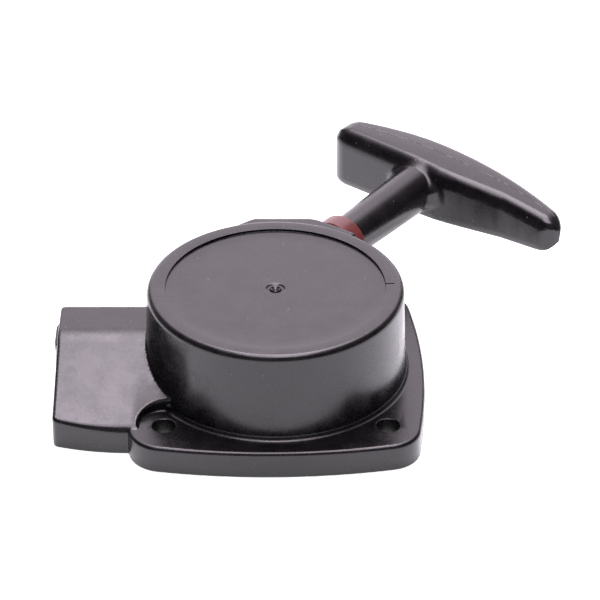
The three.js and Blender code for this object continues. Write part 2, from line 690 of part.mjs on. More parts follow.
function handleGrip() {
  const [left, right] = [GRIP_LEFT + GRIP_TIP_ROUNDING, GRIP_RIGHT - GRIP_TIP_ROUNDING];
  const tip = [30, 55, 75, 88].map((degrees) => {
    const angle = THREE.MathUtils.degToRad(degrees);
    return { reach: GRIP_TIP_ROUNDING * Math.sin(angle), shrink: Math.cos(angle) ** 0.5 };
  });
  const places = [
    ...tip.map(({ reach, shrink }) => ({ aside: left - reach, shrink })).reverse(),
    ...Array.from({ length: 9 }, (_, i) => ({ aside: left + ((right - left) * i) / 8, shrink: 1 })),
    ...tip.map(({ reach, shrink }) => ({ aside: right + reach, shrink })),
  ];
  const grip = loft(places.map(({ aside, shrink }) => gripRing(aside, shrink)));
  const stem = alongPull(
    turned([
      [0, STEM_START],
      [STEM_START_RADIUS - 0.8, STEM_START],
      [STEM_START_RADIUS, STEM_START + 0.8],
      [STEM_END_RADIUS, GRIP_INNER - 3],
      [STEM_END_RADIUS + 1, GRIP_INNER - 1],
      [STEM_END_RADIUS + 3, GRIP_INNER + 1.5],
      [0, GRIP_INNER + 3],
    ], 32),
  );
  const ropeHole = alongPull(disc(ROPE_RADIUS + 0.6, STEM_START - 5, KNOT_POCKET_FLOOR + 1, 0, 0, 16));
  const mouth = alongPull(
    turned([
      [0, STEM_START - 1],
      [ROPE_RADIUS + 2.6, STEM_START - 1],
      [ROPE_RADIUS, STEM_START + 4],
      [0, STEM_START + 4],
    ], 24),
  );
  const pocket = alongPull(disc(KNOT_POCKET_RADIUS, KNOT_POCKET_FLOOR, GRIP_OUTER + 5));
  return grip.add(stem).subtract(ropeHole).subtract(mouth).subtract(pocket);
}

function knotWasher() {
  const [inner, outer] = [ROPE_RADIUS + 0.5, KNOT_POCKET_RADIUS - 0.4];
  return alongPull(ring(inner, outer, KNOT_POCKET_FLOOR + CLEARANCE, KNOT_WASHER_END, 24));
}

function handleKnot() {
  return alongPull(knot(HANDLE_KNOT_RADIUS).translate([0, 0, KNOT_WASHER_END + 0.4]));
}

// ---- Assembly ----

const FINISHES = {
  casePlastic: { color: 0x1d1c1e, roughness: 0.42, metalness: 0 },
  gripPlastic: { color: 0x1b1a1c, roughness: 0.38, metalness: 0 },
  guidePlastic: { color: 0x8f2f26, roughness: 0.5, metalness: 0 },
  reelPlastic: { color: 0x2a2a2c, roughness: 0.5, metalness: 0 },
  springSteel: { color: 0x55585c, roughness: 0.35, metalness: 1 },
  zincSteel: { color: 0xb4b6b8, roughness: 0.35, metalness: 1 },
  pawlSteel: { color: 0x8a8c8e, roughness: 0.45, metalness: 1 },
  brass: { color: 0xb58f45, roughness: 0.35, metalness: 1 },
  rope: { color: 0xd8d4cc, roughness: 0.9, metalness: 0 },
};

const assembly = new THREE.Group();

function place(name, body, finish) {
  const mesh = new THREE.Mesh(surface(body), new THREE.MeshStandardMaterial(FINISHES[finish]));
  mesh.name = name;
  assembly.add(mesh);
}

place("starter_case", starterCase(), "casePlastic");
place("rope_guide", ropeGuide(), "guidePlastic");
place("post_insert", postInsert(), "brass");
place("centre_screw", centreScrew(), "zincSteel");
place("lock_washer", lockWasher(), "springSteel");
place("retaining_washer", retainingWasher(), "zincSteel");
place("rope_reel", ropeReel(), "reelPlastic");
place("spring_cover", springCover(), "zincSteel");
place("mainspring", mainspring(), "springSteel");
place("rope_winding", ropeWinding(), "rope");
place("reel_knot", reelKnot(), "rope");
place("thrust_washer", thrustWasher(), "zincSteel");
place("cam_plate", camPlate(), "zincSteel");
place("brake_spring", brakeSpring(), "springSteel");
for (const [letter, degrees] of Object.entries(halfTurns)) {
  place(`pawl_pin_${letter}`, pawlPin().rotate([0, 0, degrees]), "zincSteel");
  place(`pawl_${letter}`, pawl().rotate([0, 0, degrees]), "pawlSteel");
}
place("rope_lead", ropeLead(), "rope");
place("handle_grip", handleGrip(), "gripPlastic");
place("knot_washer", knotWasher(), "zincSteel");
place("handle_knot", handleKnot(), "rope");

// The origin is in the middle of the whole part's footprint, on the mounting face.
const footprint = new THREE.Box3().setFromObject(assembly);
assembly.position.x = -(footprint.min.x + footprint.max.x) / 2;
assembly.position.y = -(footprint.min.y + footprint.max.y) / 2;

const recoilStarter = new THREE.Group();
recoilStarter.add(assembly);

export default recoilStarter;
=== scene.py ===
"""Looks for the recoil starter: finer pieces, materials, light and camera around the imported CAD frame.

Shapes are described in millimetres in the starter's own frame: the drum axis is the Z axis and the
mounting face is z = 0. Most pieces are implicit shapes: a field that is negative inside the piece.
surface_of() turns it into a mesh, with vertices moved onto the zero level and normals from its slope.
"""

import math

import json

import bmesh
import bpy
import numpy as np
from mathutils import Matrix, Vector


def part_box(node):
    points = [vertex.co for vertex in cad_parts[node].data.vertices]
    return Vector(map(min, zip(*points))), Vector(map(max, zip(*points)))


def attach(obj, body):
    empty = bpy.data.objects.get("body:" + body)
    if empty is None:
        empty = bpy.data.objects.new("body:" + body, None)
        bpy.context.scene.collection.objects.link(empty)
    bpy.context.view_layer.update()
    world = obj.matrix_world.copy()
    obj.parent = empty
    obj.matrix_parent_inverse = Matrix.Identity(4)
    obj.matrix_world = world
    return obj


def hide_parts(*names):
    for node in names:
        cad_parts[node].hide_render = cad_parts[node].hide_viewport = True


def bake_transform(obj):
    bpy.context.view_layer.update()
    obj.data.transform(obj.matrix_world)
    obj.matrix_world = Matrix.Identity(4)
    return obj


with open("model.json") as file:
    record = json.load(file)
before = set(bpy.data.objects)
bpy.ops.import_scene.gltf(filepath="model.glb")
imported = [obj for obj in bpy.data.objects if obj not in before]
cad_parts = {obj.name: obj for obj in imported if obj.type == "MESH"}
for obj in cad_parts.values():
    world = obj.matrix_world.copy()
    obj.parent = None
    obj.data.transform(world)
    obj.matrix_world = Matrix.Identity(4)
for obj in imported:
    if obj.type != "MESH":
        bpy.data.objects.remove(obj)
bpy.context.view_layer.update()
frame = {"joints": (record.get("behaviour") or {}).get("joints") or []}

MM = 0.001
JOINTS = {joint["name"]: joint for joint in frame["joints"]}
DRUM_AXIS = Vector((JOINTS["reel_spin"]["pos_m"][0], JOINTS["reel_spin"]["pos_m"][1], 0))
TO_ROW = Matrix.Translation(DRUM_AXIS) @ Matrix.Scale(MM, 4)  # own frame in mm to the row frame in metres

# ---- Sizes, in millimetres ----

CLEARANCE = 0.3

FLANGE_TOP = 10.45
FLANGE_EDGE = 1.5
WALL = 3
CORNERS = [(-39.8, -40, 13.2), (40.4, -39.7, 12.3), (40, 38.8, 11), (-40, 38.8, 11)]  # x, y, radius
BOLTS = [(-40, -38.8), (40.6, -38.7), (40, 38.8), (-40, 38.8)]
SIDE_RADII = [230, 260, 300, 260]  # front, right, rear, left
BOLT_HOLE = 4.15
BOLT_BOSS = 7
BOLT_CLEARANCE = 9.6

DRUM_TOP = 45.35
DRUM_RADIUS = 47
DRUM_FOOT = 48.1
DRUM_WALL = 2.7
RIM = 2.3
FOOT_FILLET = 1.9
DUCT_FILLET = 0.4
RECESS = 40.3
RECESS_DEPTH = 1.0
CEILING = 41.8

DUCT_LEFT = -80.6
DUCT_RIGHT = -36  # buried in the drum
DUCT_REAR = 20.2
DUCT_TOP = 24
DUCT_RIDGE = 1
DUCT_SLOPE = 0.3
DUCT_STEEPER = 0.08  # added to the slope at the ridge
DUCT_HOLLOW = 0.0016  # how fast the slope flattens, per millimetre
DUCT_FRONT = (-53.1, 45, 86.5)  # x, y and radius of the front wall's arc
DUCT_WALL = 2.6
DUCT_CREASE = -51.5  # right of this the slope rises towards the drum
DUCT_RISE = 0.002
RIB_PROUD = 1.6
RIB_TOP = 19

ALONG = np.array((math.cos(math.radians(54)), math.sin(math.radians(54))))
ASIDE = np.array((ALONG[1], -ALONG[0]))
PULL_OFFSET = 11
ROPE_LEVEL = 32
OUTLET_TOP = 43
OUTLET_FACE = 51.3
OUTLET_REAR = 52.6
OUTLET_HALF = 11.5
GUIDE_BORE = 7.0
GUIDE_END = 59.4
ROPE = 1.6
WOUND_ROPE = 1.55  # a little flattened where it is wound
WINDING_INNER, WINDING_OUTER = 26.5, 39

POST = 7
ARBOR = 9
ARBOR_BOTTOM = 29.3
POST_BOTTOM = 16.8
SCREW = 2.5
INSERT = 4.6
RETAINER_BOTTOM = POST_BOTTOM - 1.6
LOCK_TOP = RETAINER_BOTTOM - CLEARANCE
LOCK_BOTTOM = LOCK_TOP - 1.3
HEAD_TOP = LOCK_BOTTOM - CLEARANCE
HEAD_BOTTOM = HEAD_TOP - 3.6
HEAD_CORNER = 5.6
CROSS_WIDTH, CROSS_REACH, CROSS_DEPTH = 0.55, 2.6, 1.5  # the screw's recess; half width
BRAKE_TURNS = 1.9

REEL = 41
REEL_BORE = 7.3
GROOVE_FLOOR = 26.2
GROOVE_BOTTOM, GROOVE_TOP = 30, 34
CHEEK = 1.6
WEB_BOTTOM, WEB_TOP = 26.5, 29
SPRING_ROOM = 24.6
HUB = 11
HUB_BOTTOM = 24.2
REEL_TOP = 40.4
KNOT_HOLE = (-28, -14, 2)

PAWL_PIVOT = 15
PAWL_REST = math.radians(-80)
PAWL_SWING = math.radians(25)
PAWL_LENGTH = 17
PAWL_BOTTOM, PAWL_TOP = 22.5, 26.1
PIN = 2
PEG = 1.6
PEG_REACH = 8
CAM = 24.5
CAM_BOTTOM, CAM_TOP = 20, 22.1
CAM_SWING = math.radians(24)

STEM_START = 59.7
STEM_START_RADIUS = 8
STEM_END_RADIUS = 9.2
GRIP_INNER = 107
GRIP_OUTER = 129.8
GRIP_HALF_HEIGHT = 12.6
GRIP_TAPER = 4.8
GRIP_CREASE = 38.7
GRIP_LEFT, GRIP_RIGHT = -44, 66
GRIP_DROP = 0.8
POCKET = 6.5
POCKET_FLOOR = 117

# ---- Fields: negative inside, in millimetres ----


def round_max(a, b, r):
    """Where both shapes are, with a rounded edge of radius r."""
    corner = np.hypot(np.maximum(a + r, 0), np.maximum(b + r, 0))
    return np.minimum(np.maximum(a, b), -r) + corner


def round_min(a, b, r):
    """Both shapes together, with a fillet of radius r where they meet."""
    corner = np.hypot(np.maximum(r - a, 0), np.maximum(r - b, 0))
    return np.maximum(np.minimum(a, b), r) - corner


def slab(z, low, high):
    return np.maximum(low - z, z - high)


def disc(x, y, z, radius, low, high, edge=0.3, centre=(0, 0)):
    return round_max(np.hypot(x - centre[0], y - centre[1]) - radius, slab(z, low, high), edge)


def washer(x, y, z, inner, outer, low, high, edge=0.3):
    rho = np.hypot(x, y)
    return round_max(np.maximum(inner - rho, rho - outer), slab(z, low, high), edge)


def polygon(x, y, points, edge):
    """A convex outline with counter-clockwise corners, rounded by edge."""
    shape = None
    for (x0, y0), (x1, y1) in zip(points, points[1:] + points[:1]):
        length = math.hypot(x1 - x0, y1 - y0)
        side = ((x - x0) * (y1 - y0) - (y - y0) * (x1 - x0)) / length
        shape = side if shape is None else round_max(shape, side, edge)
    return shape


def ramp(value, start, end):
    """0 before start, 1 after end and smooth between them."""
    t = np.clip((value - start) / (end - start), 0, 1)
    return t * t * (3 - 2 * t)


def pull_frame(x, y, z):
    """Distance along the pull axis, to its right, and above it."""
    return ALONG[0] * x + ALONG[1] * y, ASIDE[0] * x + ASIDE[1] * y + PULL_OFFSET, z - ROPE_LEVEL


def beside(along, aside=0):
    return ALONG * along + ASIDE * (aside - PULL_OFFSET)


# ---- Meshing ----


def gradient(field, points, reach):
    slopes = np.empty_like(points)
    for axis in range(3):
        offset = np.zeros(3)
        offset[axis] = reach
        slopes[:, axis] = field(*(points + offset).T) - field(*(points - offset).T)
    return slopes / (2 * reach)


def onto_surface(field, points, step, rounds=5):
    """Moves points along the field's slope until they lie on its zero level."""
    for _ in range(rounds):
        slope = gradient(field, points, step / 8)
        size = np.maximum(np.linalg.norm(slope, axis=1), 0.2)
        move = np.clip(field(*points.T) / size, -step / 2, step / 2)
        points = points - slope * (move / size)[:, None]
    return points


def net_of(field, low, high, step):
    """Vertices and quads of the zero level, one vertex in each grid cell that it crosses."""
    low = np.array(low, float)
    count = [int(math.ceil((high[i] - low[i]) / step)) + 1 for i in range(3)]
    lines = [low[i] + step * np.arange(count[i]) for i in range(3)]
    values = field(*np.meshgrid(*lines, indexing="ij", sparse=True))
    values = np.broadcast_to(values, count)
    inside = values < 0
    corners = [(i, j, k) for i in (0, 1) for j in (0, 1) for k in (0, 1)]

    def shifted(grid, corner):
        return grid[tuple(slice(c, c + n - 1) for c, n in zip(corner, count))]

    held = sum(shifted(inside, c).astype(np.int8) for c in corners)
    active = (held > 0) & (held < 8)
    cells = np.argwhere(active)
    at_corner = [shifted(values, c)[active] for c in corners]
    total = np.zeros((len(cells), 3))
    crossings = np.zeros(len(cells))
    for a, corner_a in enumerate(corners):
        for b, corner_b in enumerate(corners):
            if a < b and sum(p != q for p, q in zip(corner_a, corner_b)) == 1:
                crossed = (at_corner[a] < 0) != (at_corner[b] < 0)
                share = np.where(crossed, at_corner[a] / (at_corner[a] - at_corner[b] + 1e-12), 0)
                place = np.array(corner_a) + share[:, None] * (np.array(corner_b) - corner_a)
                total += place * crossed[:, None]
                crossings += crossed
    vertices = low + step * (cells + total / crossings[:, None])

    number = np.full(active.shape, -1, np.int64)
    number[active] = np.arange(len(cells))
    quads = []
    for axis in range(3):
        first, second = (axis + 1) % 3, (axis + 2) % 3
        start = [slice(1, n - 1) for n in count]
        start[axis] = slice(0, count[axis] - 1)
        end = list(start)
        end[axis] = slice(1, count[axis])
        here, there = inside[tuple(start)], inside[tuple(end)]
        for leaving in (True, False):
            edges = np.argwhere((here & ~there) if leaving else (there & ~here))
            edges[:, first] += 1
            edges[:, second] += 1
            ring = []
            for back_first, back_second in ((0, 0), (1, 0), (1, 1), (0, 1)):
                cell = edges.copy()
                cell[:, first] -= back_first
                cell[:, second] -= back_second
                ring.append(number[cell[:, 0], cell[:, 1], cell[:, 2]])
            quads.append(np.stack(ring if leaving else ring[::-1], axis=1))
    return vertices, np.concatenate(quads)


def use_normals(mesh, normals):
    mesh.polygons.foreach_set("use_smooth", [True] * len(mesh.polygons))
    mesh.normals_split_custom_set_from_vertices(normals)


def surface_of(name, field, low, high, step, keep=1.0, matrix=TO_ROW):
    """A piece whose surface is the field's zero level. keep is the share of triangles kept."""
    vertices, quads = net_of(field, low, high, step)
    vertices = onto_surface(field, vertices, step)
    mesh = bpy.data.meshes.new(name)
    mesh.from_pydata(vertices.tolist(), [], quads.tolist())
    piece = bpy.data.objects.new(name, mesh)
    bpy.context.scene.collection.objects.link(piece)
    if keep < 1:
        thin = piece.modifiers.new("thin", "DECIMATE")
        thin.ratio = keep
        thin.use_collapse_triangulate = True
        evaluated = piece.evaluated_get(bpy.context.evaluated_depsgraph_get())
        piece.data = bpy.data.meshes.new_from_object(evaluated)
        piece.modifiers.clear()
        bpy.data.meshes.remove(mesh)
        mesh = piece.data
        mesh.name = name
        points = np.array([v.co for v in mesh.vertices])
        points = onto_surface(field, points, step, 3)
        mesh.vertices.foreach_set("co", points.astype(np.float32).ravel())
    points = np.array([v.co for v in mesh.vertices])
    slopes = gradient(field, points, 0.12)
    slopes /= np.maximum(np.linalg.norm(slopes, axis=1), 1e-6)[:, None]
    mesh.transform(matrix)
    rotation = np.array(matrix.to_3x3().normalized())
    use_normals(mesh, (slopes @ rotation.T).tolist())
    return piece


def limits(node, margin=1.5):
    """Meshing limits round a CAD node's box, in the starter's own frame."""
    low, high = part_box(node)
    room = Vector((margin, margin, margin))
    own = TO_ROW.inverted()
    return tuple(own @ low - room), tuple(own @ high + room)


def turned(name, profile, angles, height_at=None, matrix=TO_ROW):
    """A solid of revolution from (radius, height) points that end on the axis or close on themselves."""
    mesh = bmesh.new()
    rings = []
    for radius, height in profile:
        if radius < 1e-6:
            rings.append([mesh.verts.new((0, 0, height))])
            continue
        ring = []
        for angle in angles:
            z = height if height_at is None else height_at(radius, height, angle)
            ring.append(mesh.verts.new((radius * math.cos(angle), radius * math.sin(angle), z)))
        rings.append(ring)
    count = len(angles)
    for lower, upper in zip(rings, rings[1:]):
        for i in range(count):
            j = (i + 1) % count
            below = [lower[i % len(lower)], lower[j % len(lower)]]
            above = [upper[j % len(upper)], upper[i % len(upper)]]
            corners = list(dict.fromkeys(below + above))
            if len(corners) > 2:
                mesh.faces.new(corners)
    bmesh.ops.recalc_face_normals(mesh, faces=mesh.faces)
    data = bpy.data.meshes.new(name)
    mesh.to_mesh(data)
    mesh.free()
    data.transform(matrix)
    piece = bpy.data.objects.new(name, data)
    bpy.context.scene.collection.objects.link(piece)
    data.polygons.foreach_set("use_smooth", [True] * len(data.polygons))
    data.set_sharp_from_angle(angle=math.radians(32))
    return piece


def arc(x, y, radius, start, end, steps):
    """Points of an arc, with angles in degrees."""
    angles = [math.radians(start + (end - start) * i / steps) for i in range(steps + 1)]
    return [(x + radius * math.cos(a), y + radius * math.sin(a)) for a in angles]


def tube(name, points, radius, sides=16, closed=False, matrix=TO_ROW):
    """A round tube along points, with closed ends unless it closes on itself."""
    path = np.array(points, float)
    count = len(path)
    if closed:
        tangents = np.roll(path, -1, 0) - np.roll(path, 1, 0)
    else:
        tangents = np.gradient(path, axis=0)
    tangents /= np.linalg.norm(tangents, axis=1)[:, None]
    across = np.cross(tangents[0], (0.31, 0.2, 0.93))
    across /= np.linalg.norm(across)
    frames = []
    for tangent in tangents:
        across = across - tangent * (across @ tangent)
        across /= np.linalg.norm(across)
        frames.append((across, np.cross(tangent, across)))
    twist = 0.0
    if closed:  # spreads the turn left over after one round evenly along the path
        first, last = frames[0], frames[-1]
        twist = math.atan2(last[0] @ first[1], last[0] @ first[0])
    mesh = bmesh.new()
    rings = []
    for i, (centre, (u, v)) in enumerate(zip(path, frames)):
        ring = []
        for k in range(sides):
            angle = 2 * math.pi * k / sides - twist * i / count
            ring.append(mesh.verts.new(centre + radius * (math.cos(angle) * u + math.sin(angle) * v)))
        rings.append(ring)
    for i in range(count if closed else count - 1):
        here, there = rings[i], rings[(i + 1) % count]
        for k in range(sides):
            n = (k + 1) % sides
            mesh.faces.new((here[k], here[n], there[n], there[k]))
    if not closed:
        mesh.faces.new(rings[0][::-1])
        mesh.faces.new(rings[-1])
    bmesh.ops.recalc_face_normals(mesh, faces=mesh.faces)
    data = bpy.data.meshes.new(name)
    mesh.to_mesh(data)
    mesh.free()
    data.transform(matrix)
    data.polygons.foreach_set("use_smooth", [True] * len(data.polygons))
    data.set_sharp_from_angle(angle=math.radians(50))
    piece = bpy.data.objects.new(name, data)
    bpy.context.scene.collection.objects.link(piece)
    return piece


# ---- Materials ----


class Graph:
    """A small helper for building a material's nodes."""

    def __init__(self, name, colour, roughness, metallic=0.0, specular=0.5):
        self.material = bpy.data.materials.new(name)
        self.material.use_nodes = True
        self.nodes = self.material.node_tree.nodes
        self.links = self.material.node_tree.links
        self.shader = self.nodes["Principled BSDF"]
        self.shader.inputs["Base Color"].default_value = (*colour, 1)
        self.shader.inputs["Roughness"].default_value = roughness
        self.shader.inputs["Metallic"].default_value = metallic
        self.shader.inputs["Specular IOR Level"].default_value = specular
        self.place = self.nodes.new("ShaderNodeTexCoord").outputs["Object"]
        self.bump_height = None

    def node(self, kind, inputs=(), **settings):
        made = self.nodes.new(kind)
        for key, value in settings.items():
            setattr(made, key, value)
        for key, value in dict(inputs).items():
            if isinstance(value, bpy.types.NodeSocket):
                self.links.new(value, made.inputs[key])
            else:
                made.inputs[key].default_value = value
        return made

    def noise(self, per_mm, detail=3.0, stretch=None, place=None):
        """Noise with about this many features in a millimetre."""
        place = place or self.place
        if stretch:
            place = self.node("ShaderNodeMapping", {"Vector": place, "Scale": stretch}).outputs[0]
        inputs = {"Vector": place, "Scale": per_mm / MM, "Detail": detail, "Roughness": 0.6}
        return self.node("ShaderNodeTexNoise", inputs).outputs["Fac"]

    def math(self, operation, *values):
        return self.node("ShaderNodeMath", dict(enumerate(values)), operation=operation).outputs[0]

    def range(self, value, low, high, to_low, to_high):
        inputs = {"Value": value, "From Min": low, "From Max": high, "To Min": to_low, "To Max": to_high}
        return self.node("ShaderNodeMapRange", inputs).outputs["Result"]

    def mix(self, share, first, second):
        """A colour between two colours."""
        made = self.node("ShaderNodeMix", data_type="RGBA")
        for index, value in ((0, share), (6, first), (7, second)):
            if isinstance(value, bpy.types.NodeSocket):
                self.links.new(value, made.inputs[index])
            else:
                made.inputs[index].default_value = value if index == 0 else (*value, 1)
        return made.outputs[2]

    def set(self, socket, value):
        self.links.new(value, self.shader.inputs[socket])

    def bump(self, height, depth_mm):
        """Adds fine relief, depth_mm deep."""
        inputs = {"Height": height, "Distance": depth_mm * MM, "Strength": 1.0}
        node = self.node("ShaderNodeBump", inputs)
        if self.bump_height is not None:
            self.links.new(self.bump_height, node.inputs["Normal"])
        self.bump_height = node.outputs[0]
        self.links.new(self.bump_height, self.shader.inputs["Normal"])


def moulded_black(name, roughness, grain_depth, mottle=0.06, scuffs=0.35):
    """Black glass-filled nylon: satin, with a fine grain, uneven gloss and a few pale scuffs."""
    graph = Graph(name, (0.012, 0.011, 0.012), roughness, specular=0.5)
    cloud = graph.noise(0.12, 4)
    patch = graph.noise(0.9, 2)
    uneven = graph.math("ADD", graph.range(cloud, 0.3, 0.7, -mottle, mottle), roughness)
    uneven = graph.math("ADD", uneven, graph.range(patch, 0.3, 0.7, -mottle / 2, mottle / 2))
    flecks = graph.noise(1.1, 2, stretch=(1, 0.22, 1))
    fleck = graph.range(flecks, 0.74 - 0.02 * scuffs, 0.79, 0, scuffs)
    tint = graph.mix(graph.range(cloud, 0.3, 0.7, 0, 1), (0.0045, 0.004, 0.0045), (0.0075, 0.0068, 0.0076))
    graph.set("Base Color", graph.mix(fleck, tint, (0.42, 0.40, 0.41)))
    graph.set("Roughness", uneven)
    graph.bump(graph.noise(2.6, 3), grain_depth)
    graph.bump(graph.noise(0.35, 2), grain_depth * 1.5)
    return graph.material


def worn_flash():
    """The mould's parting line: black where it is whole, and pale where it has been rubbed."""
    graph = Graph("grip_flash", (0.01, 0.009, 0.01), 0.4)
    rubbed = graph.range(graph.noise(0.35, 4), 0.47, 0.56, 0, 1)
    graph.set("Base Color", graph.mix(rubbed, (0.01, 0.009, 0.01), (0.24, 0.22, 0.23)))
    return graph.material


def moulded_red():
    graph = Graph("guide_red", (0.12, 0.016, 0.014), 0.36, specular=0.5)
    cloud = graph.noise(0.25, 4)
    share = graph.range(cloud, 0.3, 0.7, 0, 1)
    graph.set("Base Color", graph.mix(share, (0.095, 0.016, 0.015), (0.13, 0.025, 0.023)))
    graph.set("Roughness", graph.range(cloud, 0.3, 0.7, 0.3, 0.42))
    graph.bump(graph.noise(2.2, 3), 0.008)
    return graph.material


def moulded_dark():
    """Dark grey nylon of the reel, drier than the case."""
    graph = Graph("reel_nylon", (0.045, 0.045, 0.048), 0.48)
    cloud = graph.noise(0.15, 4)
    share = graph.range(cloud, 0.3, 0.7, 0, 1)
    graph.set("Base Color", graph.mix(share, (0.038, 0.038, 0.041), (0.06, 0.06, 0.063)))
    graph.set("Roughness", graph.range(cloud, 0.3, 0.7, 0.42, 0.58))
    graph.bump(graph.noise(1.8, 3), 0.02)
    return graph.material


def metal(name, colour, dull, roughness, line_depth=0.004, stretch=(1, 1, 0.06)):
    """Metal with fine surface lines and cloudy dull patches."""
    graph = Graph(name, colour, roughness, metallic=1.0)
    cloud = graph.noise(0.35, 5)
    graph.set("Base Color", graph.mix(graph.range(cloud, 0.35, 0.7, 0, 1), colour, dull))
    graph.set("Roughness", graph.range(cloud, 0.3, 0.75, roughness - 0.06, roughness + 0.16))
    graph.bump(graph.noise(3.0, 2, stretch=stretch), line_depth)
    return graph.material


def braided_rope():
    """Off-white braided cord: two crossing sets of strands round the pull axis, painted shade in the
    grooves between the strands, and a little grime.
    """
    graph = Graph("rope_braid", (0.5, 0.48, 0.43), 0.85, specular=0.25)
    turn = graph.node("ShaderNodeMapping", {"Vector": graph.place}, vector_type="TEXTURE")
    start = TO_ROW @ Vector((*beside(0), ROPE_LEVEL))
    turn.inputs["Location"].default_value = start
    turn.inputs["Rotation"].default_value = (0, 0, math.atan2(ALONG[1], ALONG[0]))
    parts = graph.node("ShaderNodeSeparateXYZ", {0: turn.outputs[0]}).outputs
    around = graph.math("ARCTAN2", parts[1], parts[2])
    along = graph.math("MULTIPLY", parts[0], 1.35 / MM)
    left = graph.math("SINE", graph.math("ADD", along, graph.math("MULTIPLY", around, 4.0)))
    right = graph.math("SINE", graph.math("SUBTRACT", along, graph.math("MULTIPLY", around, 4.0)))
    weave = graph.math("MAXIMUM", left, right)
    fuzz = graph.noise(3.5, 3)
    # painted shade: the colour darkens in the grooves between the strands, where the weave's bump also dips
    shade = graph.mix(graph.range(weave, -0.6, 0.9, 0, 1), (0.18, 0.17, 0.15), (0.52, 0.5, 0.45))
    grime = graph.range(graph.noise(0.12, 4), 0.5, 0.75, 0, 0.5)
    graph.set("Base Color", graph.mix(grime, shade, (0.3, 0.27, 0.23)))
    graph.bump(weave, 0.22)
    graph.bump(fuzz, 0.08)
    return graph.material


CASE = moulded_black("case_nylon", 0.26, 0.004)
GRIP = moulded_black("grip_plastic", 0.26, 0.004, mottle=0.04, scuffs=0.7)
FLASH = worn_flash()
GUIDE = moulded_red()
NYLON = moulded_dark()
ZINC = metal("zinc_plate", (0.62, 0.63, 0.64), (0.46, 0.46, 0.47), 0.3)
SPRING = metal("blued_spring_steel", (0.13, 0.14, 0.17), (0.09, 0.09, 0.1), 0.3)
SINTERED = metal("sintered_steel", (0.36, 0.36, 0.37), (0.26, 0.26, 0.26), 0.46, 0.02, (1, 1, 1))
BRASS = metal("turned_brass", (0.68, 0.47, 0.2), (0.5, 0.34, 0.15), 0.3)
CORD = braided_rope()


def finish(piece, material, body, slot, *replaced):
    """Gives a piece its material and body, and hides the CAD nodes that it stands for; slot is not used."""
    piece.data.materials.clear()
    piece.data.materials.append(material)
    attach(piece, body)
    if replaced:
        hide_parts(*replaced)
    return piece


def even(count):
    return [2 * math.pi * i / count for i in range(count)]


# ---- Case ----


def side_centre(a, b, radius):
    """Centre of the side arc that touches two corner circles inside it."""
    dx, dy = b[0] - a[0], b[1] - a[1]
    gap = math.hypot(dx, dy)
    along = ((radius - a[2]) ** 2 - (radius - b[2]) ** 2 + gap**2) / (2 * gap)
    across = math.sqrt((radius - a[2]) ** 2 - along**2)
    return a[0] + (dx * along - dy * across) / gap, a[1] + (dy * along + dx * across) / gap


SIDES = [(*side_centre(CORNERS[i], CORNERS[(i + 1) % 4], SIDE_RADII[i]), SIDE_RADII[i]) for i in range(4)]


def flange_outline(x, y):
    shape = None
    for cx, cy, radius in SIDES:
        side = np.hypot(x - cx, y - cy) - radius
        shape = side if shape is None else np.maximum(shape, side)
    for i, (cx, cy, radius) in enumerate(CORNERS):
        before, after = SIDES[i - 1], SIDES[i]
        first = (cx - before[0], cy - before[1])
        last = (cx - after[0], cy - after[1])
        past_first = first[0] * (y - cy) - first[1] * (x - cx) >= 0
        before_last = (x - cx) * last[1] - (y - cy) * last[0] >= 0
        shape = np.where(past_first & before_last, np.hypot(x - cx, y - cy) - radius, shape)
    return shape


def drum_wall(x, y, z):
    draft = (DRUM_FOOT - DRUM_RADIUS) / (DRUM_TOP - FLANGE_TOP)
    return np.hypot(x, y) - DRUM_FOOT + (z - FLANGE_TOP) * draft


def duct(x, y, z):
    forward = DUCT_RIDGE - y
    inward = x - DUCT_CREASE
    lift = DUCT_RISE * np.maximum(forward, 0) * (inward + np.sqrt(inward * inward + 2))
    drop = (DUCT_SLOPE + DUCT_STEEPER) * forward - DUCT_HOLLOW * forward * forward
    slope = (z - lift - DUCT_TOP + drop) / math.hypot(1, DUCT_SLOPE)
    roof = round_max(z - DUCT_TOP, slope, 1.5)
    front_x, front_y, front_radius = DUCT_FRONT
    front = np.hypot(x - front_x, y - front_y) - front_radius
    left = DUCT_LEFT - x
    walls = round_max(round_max(left, y - DUCT_REAR, 1.6), front, 1.8)
    walls = np.maximum(walls, x - DUCT_RIGHT)
    wide = ramp(x, DUCT_LEFT, DUCT_LEFT + 34) * ramp(-y, 0, 20)
    return round_max(walls, roof, 1.2 + 1.6 * wide)


def duct_rib(x, y, z):
    left, proud = DUCT_LEFT, DUCT_LEFT - RIB_PROUD
    plan = [(left + 4, -3), (left + 4, 18), (left, 18), (proud, 15), (proud, 2), (left, -3)]
    return round_max(polygon(x, y, plan, 0.9), z - RIB_TOP, 1.2)


def outlet_block(x, y, z):
    corner = tuple(beside(OUTLET_FACE, OUTLET_HALF))
    back = tuple(beside(OUTLET_FACE - 9, OUTLET_HALF))
    face_start = (OUTLET_FACE - ALONG[1] * OUTLET_REAR) / ALONG[0]
    on_face = (face_start + 2, OUTLET_REAR - 2 * ALONG[0] / ALONG[1])
    rear = [(face_start - 1, OUTLET_REAR), (-8.9, OUTLET_REAR)]
    plan = [(-24, 41), back, corner, on_face, *rear]
    return round_max(polygon(x, y, plan, 1.3), z - OUTLET_TOP, 1.3)


